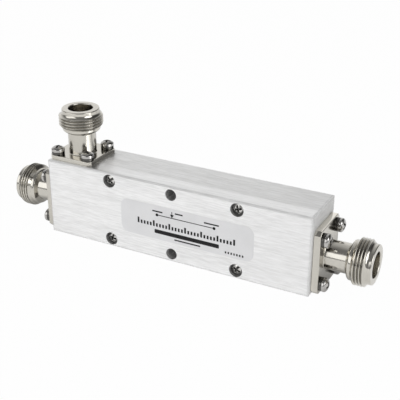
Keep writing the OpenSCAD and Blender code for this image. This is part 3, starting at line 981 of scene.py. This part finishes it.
def flange_end_light_mask(w, coordinate):
    """Where the end flanges' upper and lower ends lie: between the block's end and the flange's
    face, facing up or down. Painted light lightens them."""
    thick = local_box("input_lock_washers", jack_frame("input"))[0][2]
    out = w.math("ABSOLUTE", w.split(coordinate["Object"])[0])
    up = w.math("ABSOLUTE", w.split(coordinate["Normal"])[2])
    beside = w.math("GREATER_THAN", out, HOUSING_HIGH[0] * MM)
    below = w.math("LESS_THAN", out, (HOUSING_HIGH[0] + thick) * MM)
    between = w.math("MULTIPLY", beside, below)
    return w.math("MULTIPLY", between, w.math("GREATER_THAN", up, FLANGE_END_FACING))


def turned_nickel(tint):
    """Bright nickel on a turned part: rings along its outline, faint traces of handling, painted
    shade in the thread grooves and painted light on the upper and lower ends of the end flanges."""
    material, w, shader = new_material("jack_nickel", Metallic=1.0)
    coordinate = w.coordinates()
    rings = w.group(turning_marks, Along=w.mark("along"), Density=RING_DENSITY)["Rings"]
    traces = w.group(handling_traces, Vector=coordinate["Object"], Density=NICKEL_TRACES)["Traces"]
    base = w.blend(w.mix(0.5, rings, traces), *[shaded(tint, shade) for shade in NICKEL_SHADES])
    # Painted shade darkens the thread grooves
    base = toned(w, base, w.mark("sunk"), tint, *GROOVE_SHADE_TONE)
    # Painted light: the end flanges' upper and lower ends are lightened, standing in for a brighter
    # reflection
    base = toned(w, base, flange_end_light_mask(w, coordinate), tint, *FLANGE_END_LIGHT_TONE)
    roughness = w.ramp(rings, *GLOSS_RANGE, *NICKEL_ROUGH)
    roughness = w.math("MULTIPLY_ADD", traces, NICKEL_TRACE_DULL, roughness)
    finish_surface(w, shader, base, roughness, rings, *RING_BUMP)
    return material


def grained(name, tint, metallic, rough, density=300.0, spread=0.12, strength=0.1, painted_recess_shade=0.0,
            **sockets):
    """A cast, moulded or plated finish: grain and patches of handling change its colour and its
    gloss, and painted shade darkens what lies sunk."""
    material, w, shader = new_material(name, Metallic=metallic, **sockets)
    traces = w.group(handling_traces, Vector=w.coordinates()["Object"], Density=density)
    tone = w.mix(0.5, traces["Grain"], traces["Traces"])
    base = w.blend(tone, shaded(tint, 1 + spread / 2), shaded(tint, 1 - spread))
    if painted_recess_shade:
        # Painted shade darkens what lies sunk, such as a screw's cross recess
        base = toned(w, base, w.mark("sunk"), tint, painted_recess_shade, RECESS_SHADE)
    roughness = w.ramp(tone, *GRAIN_RANGE, *rough)
    finish_surface(w, shader, base, roughness, traces["Grain"], strength, GRAIN_HEIGHT)
    return material


def paint_nodes(material, *nodes):
    """Gives solids that stay in view their finish."""
    for node in nodes:
        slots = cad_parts[node].data.materials
        slots.clear()
        slots.append(material)


# Studio, in metres

FLOOR_R, FLOOR_STEPS, FLOOR_HEIGHT = 1.2, 97, -5e-5
FLOOR_GREY = (0.9, 0.9, 0.9, 1)
WHITE = (1, 1, 1, 1)

# Shade under the end jacks: the stretches along the block over which it grows and fades
END_STRIPS = (((-0.085, -0.070), (-0.052, -0.048)), ((0.066, 0.058), (0.052, 0.048)))
STRIP_FRONT = (-0.012, -0.002)

# Stretches of the view's direction over which the room changes
CEILING_FROM, SKIRTING_TO = (0.48, 0.82), (0.0, 0.3)
LEFT_TO_RIGHT, FRONT_TO_BACK = (-0.25, 0.25), (-0.15, 0.4)

# Soft lights: azimuth to the right of straight on and elevation in degrees, distance, and size
FRONT_SOFTBOX = ((-33, 24), 0.75, (0.8, 0.48))
SIDE_SOFTBOX = ((80, 25), 0.70, (0.5, 0.4))
LIGHT_AIM = Vector((0, 0, 0.02))

SENSOR_MM = 36.0
CLIP = (0.01, 20.0)


# Operators

class COUPLER_OT_block(bpy.types.Operator):
    """Give the housing and the cover plate their brushed aluminium"""

    bl_idname = "coupler.block"
    bl_label = "Block"

    def execute(self, context):
        finish = context.scene.coupler_finish
        block = brushed_aluminium("block_aluminium", finish.block, 1700.0, (0.42, 0.55), 0.04)
        cover = brushed_aluminium("cover_aluminium", finish.cover, 2300.0, (0.37, 0.50), 0.10)
        paint_nodes(block, "housing")
        paint_nodes(cover, "cover_plate")
        return {"FINISHED"}


class COUPLER_OT_jacks(bpy.types.Operator):
    """Make the three turned jack shells with their flanges and threads"""

    bl_idname = "coupler.jacks"
    bl_label = "Jack shells"

    def execute(self, context):
        nickel = turned_nickel(context.scene.coupler_finish.nickel)
        for jack in JACKS:
            grids = jack_grids(jack_sizes(context.scene.coupler_jack, jack))
            grids = place(grids, jack_frame(jack))
            node = f"{jack}_jack_shell"
            add_piece(f"{jack}_turned_shell", grids, nickel, [node], SHELL_SHARP)
        return {"FINISHED"}


class COUPLER_OT_conductors(bpy.types.Operator):
    """Give the insulators, contacts, lines, spacers and load their finishes"""

    bl_idname = "coupler.conductors"
    bl_label = "Insulators and conductors"

    def execute(self, context):
        finish = context.scene.coupler_finish
        white = grained("insulator_white", finish.insulator, 0.0, (0.38, 0.55), spread=0.06)
        silver = grained("contact_silver", finish.contact, 1.0, (0.16, 0.28), density=500.0)
        brass = grained("line_brass", finish.line, 1.0, (0.22, 0.38))
        ceramic = grained("load_ceramic", finish.load, 0.0, (0.5, 0.7))
        plated = grained("load_base_nickel", finish.nickel, 1.0, (0.2, 0.35))
        paint_nodes(white, *[f"{jack}_insulator" for jack in JACKS])
        paint_nodes(white, "front_spacers", "rear_spacers")
        paint_nodes(silver, *[f"{jack}_contact" for jack in JACKS])
        paint_nodes(brass, "main_line", "coupled_line")
        paint_nodes(ceramic, "load_element")
        paint_nodes(plated, "load_base")
        return {"FINISHED"}


class COUPLER_OT_flange_screws(bpy.types.Operator):
    """Make the flange screws and their split lock washers"""

    bl_idname = "coupler.flange_screws"
    bl_label = "Flange screws and washers"

    def execute(self, context):
        size = millimetres(context.scene.coupler_screw)
        finish = context.scene.coupler_finish
        steel = grained("screw_steel", finish.steel, 1.0, (0.08, 0.16), painted_recess_shade=0.85, **SCREW_GRAIN)
        spring = grained("washer_steel", finish.washer, 1.0, (0.18, 0.32), **SCREW_GRAIN)
        screw, washer = screw_grids(size, "flange"), washer_grids(size)
        for number, jack in enumerate(JACKS):
            jack_size = jack_sizes(context.scene.coupler_jack, jack)
            base = jack_frame(jack)
            screws, washers = [], []
            for count, (x, y) in enumerate(screw_places(jack_size)):
                turn = FIRST_TURN + SCREW_TURN * count + JACK_TURN * number
                screws += place(screw, base @ turned_at(x, y, jack_size["seat"], turn))
                washers += place(washer, base @ turned_at(x, y, jack_size["flange_t"], 0.0))
            add_piece(f"{jack}_pan_screws", screws, steel,
                      [f"{jack}_flange_screws"])
            add_piece(f"{jack}_split_washers", washers, spring,
                      [f"{jack}_lock_washers"])
        return {"FINISHED"}


class COUPLER_OT_cover_screws(bpy.types.Operator):
    """Make the four screws that sit sunk in the cover"""

    bl_idname = "coupler.cover_screws"
    bl_label = "Cover screws"

    def execute(self, context):
        size = millimetres(context.scene.coupler_screw)
        bright = context.scene.coupler_finish.bright
        steel = grained("cover_screw_steel", bright, 1.0, (0.16, 0.28), painted_recess_shade=0.9, **SCREW_GRAIN)
        screw = screw_grids(size, "cover")
        middle, reach = cover_screw_places(size["cover_head_r"])
        grids = []
        for (side, up), degrees in COVER_SCREWS.items():
            x, z = middle[0] + side * reach[0], middle[2] + up * reach[2]
            base = front_frame(x, z, size["cover_sink"])
            grids += place(screw, base @ turned_at(0, 0, 0, math.radians(degrees)))
        add_piece("cover_pan_screws", grids, steel, ["cover_screws"])
        return {"FINISHED"}


class COUPLER_OT_label(bpy.types.Operator):
    """Make the printed field on the cover and the plain marks on it"""

    bl_idname = "coupler.label"
    bl_label = "Label"

    def execute(self, context):
        label = context.scene.coupler_label
        finish = context.scene.coupler_finish
        size = millimetres(label, "strokes")
        base = front_frame(size["middle_x"], size["middle_z"])
        foil = grained("label_foil", finish.field, 0.85, (0.5, 0.6),
                       density=120.0, spread=0.03, strength=0.03)
        ink = grained("label_ink", finish.ink, 0.0, (0.5, 0.6),
                      density=400.0, spread=0.2, strength=0.05, Specular_IOR_Level=0.25)
        add_piece("label_field", place([label_field(size)], base), foil)
        add_piece("label_marks", place(label_marks(size, label.strokes), base), ink)
        return {"FINISHED"}


class COUPLER_OT_stage(bpy.types.Operator):
    """Set the white floor, the room, the soft lights and the camera"""

    bl_idname = "coupler.stage"
    bl_label = "Stage"

    def execute(self, context):
        stage = context.scene.coupler_stage
        context.scene.view_settings.view_transform = "Standard"
        self.floor(stage)
        self.room(context, stage)
        self.soft_light("front_softbox", stage.front_light, *FRONT_SOFTBOX)
        self.soft_light("side_softbox", stage.side_light, *SIDE_SOFTBOX)
        self.camera(context, stage)
        return {"FINISHED"}

    def floor(self, stage):
        """A flat round floor: two radii carried once round the Z axis."""
        turn = np.linspace(0, FULL_TURN, FLOOR_STEPS)[None]
        grid = revolve(np.array([[0.0], [FLOOR_R]]), FLOOR_HEIGHT, turn)
        points, fours, threes, _ = join_grids([(grid,)])
        white = self.floor_white(stage)
        mesh = smooth_mesh("studio_floor", points, fours[:, ::-1], threes[:, ::-1], white)
        floor = link_object("studio_floor", mesh)

    def floor_white(self, stage):
        """The floor's finish: its own shading, and a white glow that the camera sees in full and
        the metal in part."""
        material = bpy.data.materials.new("studio_white")
        material.use_nodes = True
        w = Wiring(material.node_tree)
        w.tree.nodes.remove(w.tree.nodes["Principled BSDF"])
        path = w.node("ShaderNodeLightPath").outputs
        straight = w.math("MULTIPLY", path["Is Camera Ray"], 1.0 - stage.shadow)
        bent = w.math("MAXIMUM", path["Is Glossy Ray"], path["Is Transmission Ray"])
        shade = w.math("MULTIPLY", bent, self.end_shade(w, stage))
        glow = w.math("MULTIPLY", w.math("SUBTRACT", bent, shade), stage.mirrored)
        glow = w.math("MAXIMUM", straight, glow)
        diffuse = w.node("ShaderNodeBsdfDiffuse", {"Color": FLOOR_GREY}).outputs[0]
        unseen = w.math("MAXIMUM", straight, shade)
        shading = w.node("ShaderNodeMixShader", {0: unseen, 1: diffuse}).outputs[0]
        white = w.node("ShaderNodeEmission", {"Color": WHITE, "Strength": glow}).outputs[0]
        both = w.node("ShaderNodeAddShader", {0: shading, 1: white}).outputs[0]
        w.join(both, w.tree.nodes["Material Output"].inputs["Surface"])
        return material

    def end_shade(self, w, stage):
        """Shade on the floor under the two end jacks, wider at the left, where the block keeps the
        side light off."""
        part = w.split(w.coordinates()["Object"])
        strips = [
            w.math("MULTIPLY", w.ramp(part[0], *grows), w.ramp(part[0], *goes, 1.0, 0.0))
            for grows, goes in END_STRIPS
        ]
        behind = w.ramp(part[1], *STRIP_FRONT, 0.0, stage.end_shade)
        return w.math("MULTIPLY", w.math("MAXIMUM", *strips), behind)

    def room(self, context, stage):
        """The room: bright behind the block on the left, less so overhead, dim on the right above a
        brighter skirting, dim around the camera, and white where the camera looks straight at
        it."""
        world = bpy.data.worlds.new("studio_room")
        world.use_nodes = True
        w = Wiring(world.node_tree)
        part = w.split(w.coordinates()["Generated"])
        left = w.mix(w.ramp(part[2], *CEILING_FROM), stage.back, stage.ceiling)
        right = w.ramp(part[2], *SKIRTING_TO, stage.skirting, stage.corner)
        level = w.mix(w.ramp(part[0], *LEFT_TO_RIGHT), left, right)
        level = w.mix(w.ramp(part[1], *FRONT_TO_BACK), stage.front, level)
        level = w.math("MAXIMUM", level, w.node("ShaderNodeLightPath").outputs["Is Camera Ray"])
        background = w.tree.nodes["Background"].inputs
        w.join(level, background["Strength"])
        w.join(WHITE, background["Color"])
        context.scene.world = world

    def soft_light(self, name, brightness, direction, distance, size):
        """A rectangular lamp that faces the block, at an azimuth to the right of straight on and an
        elevation."""
        azimuth, elevation = (math.radians(degrees) for degrees in direction)
        level = math.cos(elevation)
        out = Vector((math.sin(azimuth) * level, -math.cos(azimuth) * level, math.sin(elevation)))
        lamp = bpy.data.lights.new(name, "AREA")
        lamp.shape = "RECTANGLE"
        lamp.size, lamp.size_y = size
        lamp.energy = brightness * math.pi * size[0] * size[1]
        holder = link_object(name, lamp)
        holder.location = out * distance + LIGHT_AIM
        holder.rotation_euler = out.to_track_quat("Z", "Y").to_euler()
        holder.visible_camera = False

    def camera(self, context, stage):
        """The photograph's camera: turned by yaw about the upright, by pitch below level, and by
        roll about its own axis."""
        data = bpy.data.cameras.new("camera")
        data.lens, data.sensor_width = stage.lens, SENSOR_MM
        data.clip_start, data.clip_end = CLIP
        camera = link_object("camera", data)
        yaw, roll = (Matrix.Rotation(turn, 4, "Z") for turn in (stage.yaw, stage.roll))
        pitch = Matrix.Rotation(QUARTER_TURN - stage.pitch, 4, "X")
        camera.matrix_world = Matrix.Translation(stage.eye) @ (yaw @ pitch) @ roll
        context.scene.camera = camera


class COUPLER_PT_looks(bpy.types.Panel):
    """Sizes, colours and steps of the coupler's looks"""

    bl_idname = "COUPLER_PT_looks"
    bl_label = "Coupler"
    bl_space_type = "VIEW_3D"
    bl_region_type = "UI"
    bl_category = "Coupler"

    def draw(self, context):
        for title, attribute, _ in GROUPS:
            box = self.layout.box()
            box.label(text=title)
            group = getattr(context.scene, attribute)
            for key in group.__annotations__:
                box.prop(group, key)
        for operator in OPERATORS:
            self.layout.operator(operator.bl_idname)


GROUPS = (
    ("Jacks", "coupler_jack", CouplerJackSizes),
    ("Screws", "coupler_screw", CouplerScrewSizes),
    ("Label", "coupler_label", CouplerLabelSizes),
    ("Finish", "coupler_finish", CouplerFinish),
    ("Stage", "coupler_stage", CouplerStage),
)
OPERATORS = (
    COUPLER_OT_block, COUPLER_OT_jacks, COUPLER_OT_conductors, COUPLER_OT_flange_screws,
    COUPLER_OT_cover_screws, COUPLER_OT_label, COUPLER_OT_stage,
)


def register():
    """Registers the classes and gives the scene its property groups."""
    for _, attribute, group in GROUPS:
        bpy.utils.register_class(group)
        setattr(bpy.types.Scene, attribute, PointerProperty(type=group))
    for operator in OPERATORS:
        bpy.utils.register_class(operator)
    bpy.utils.register_class(COUPLER_PT_looks)


def unregister():
    """Takes back what register did."""
    bpy.utils.unregister_class(COUPLER_PT_looks)
    for operator in reversed(OPERATORS):
        bpy.utils.unregister_class(operator)
    for _, attribute, group in reversed(GROUPS):
        delattr(bpy.types.Scene, attribute)
        bpy.utils.unregister_class(group)


def main():
    """Makes the looks in order."""
    register()
    bpy.ops.coupler.block()
    bpy.ops.coupler.jacks()
    bpy.ops.coupler.conductors()
    bpy.ops.coupler.flange_screws()
    bpy.ops.coupler.cover_screws()
    bpy.ops.coupler.label()
    bpy.ops.coupler.stage()


if __name__ == "__main__":
    main()
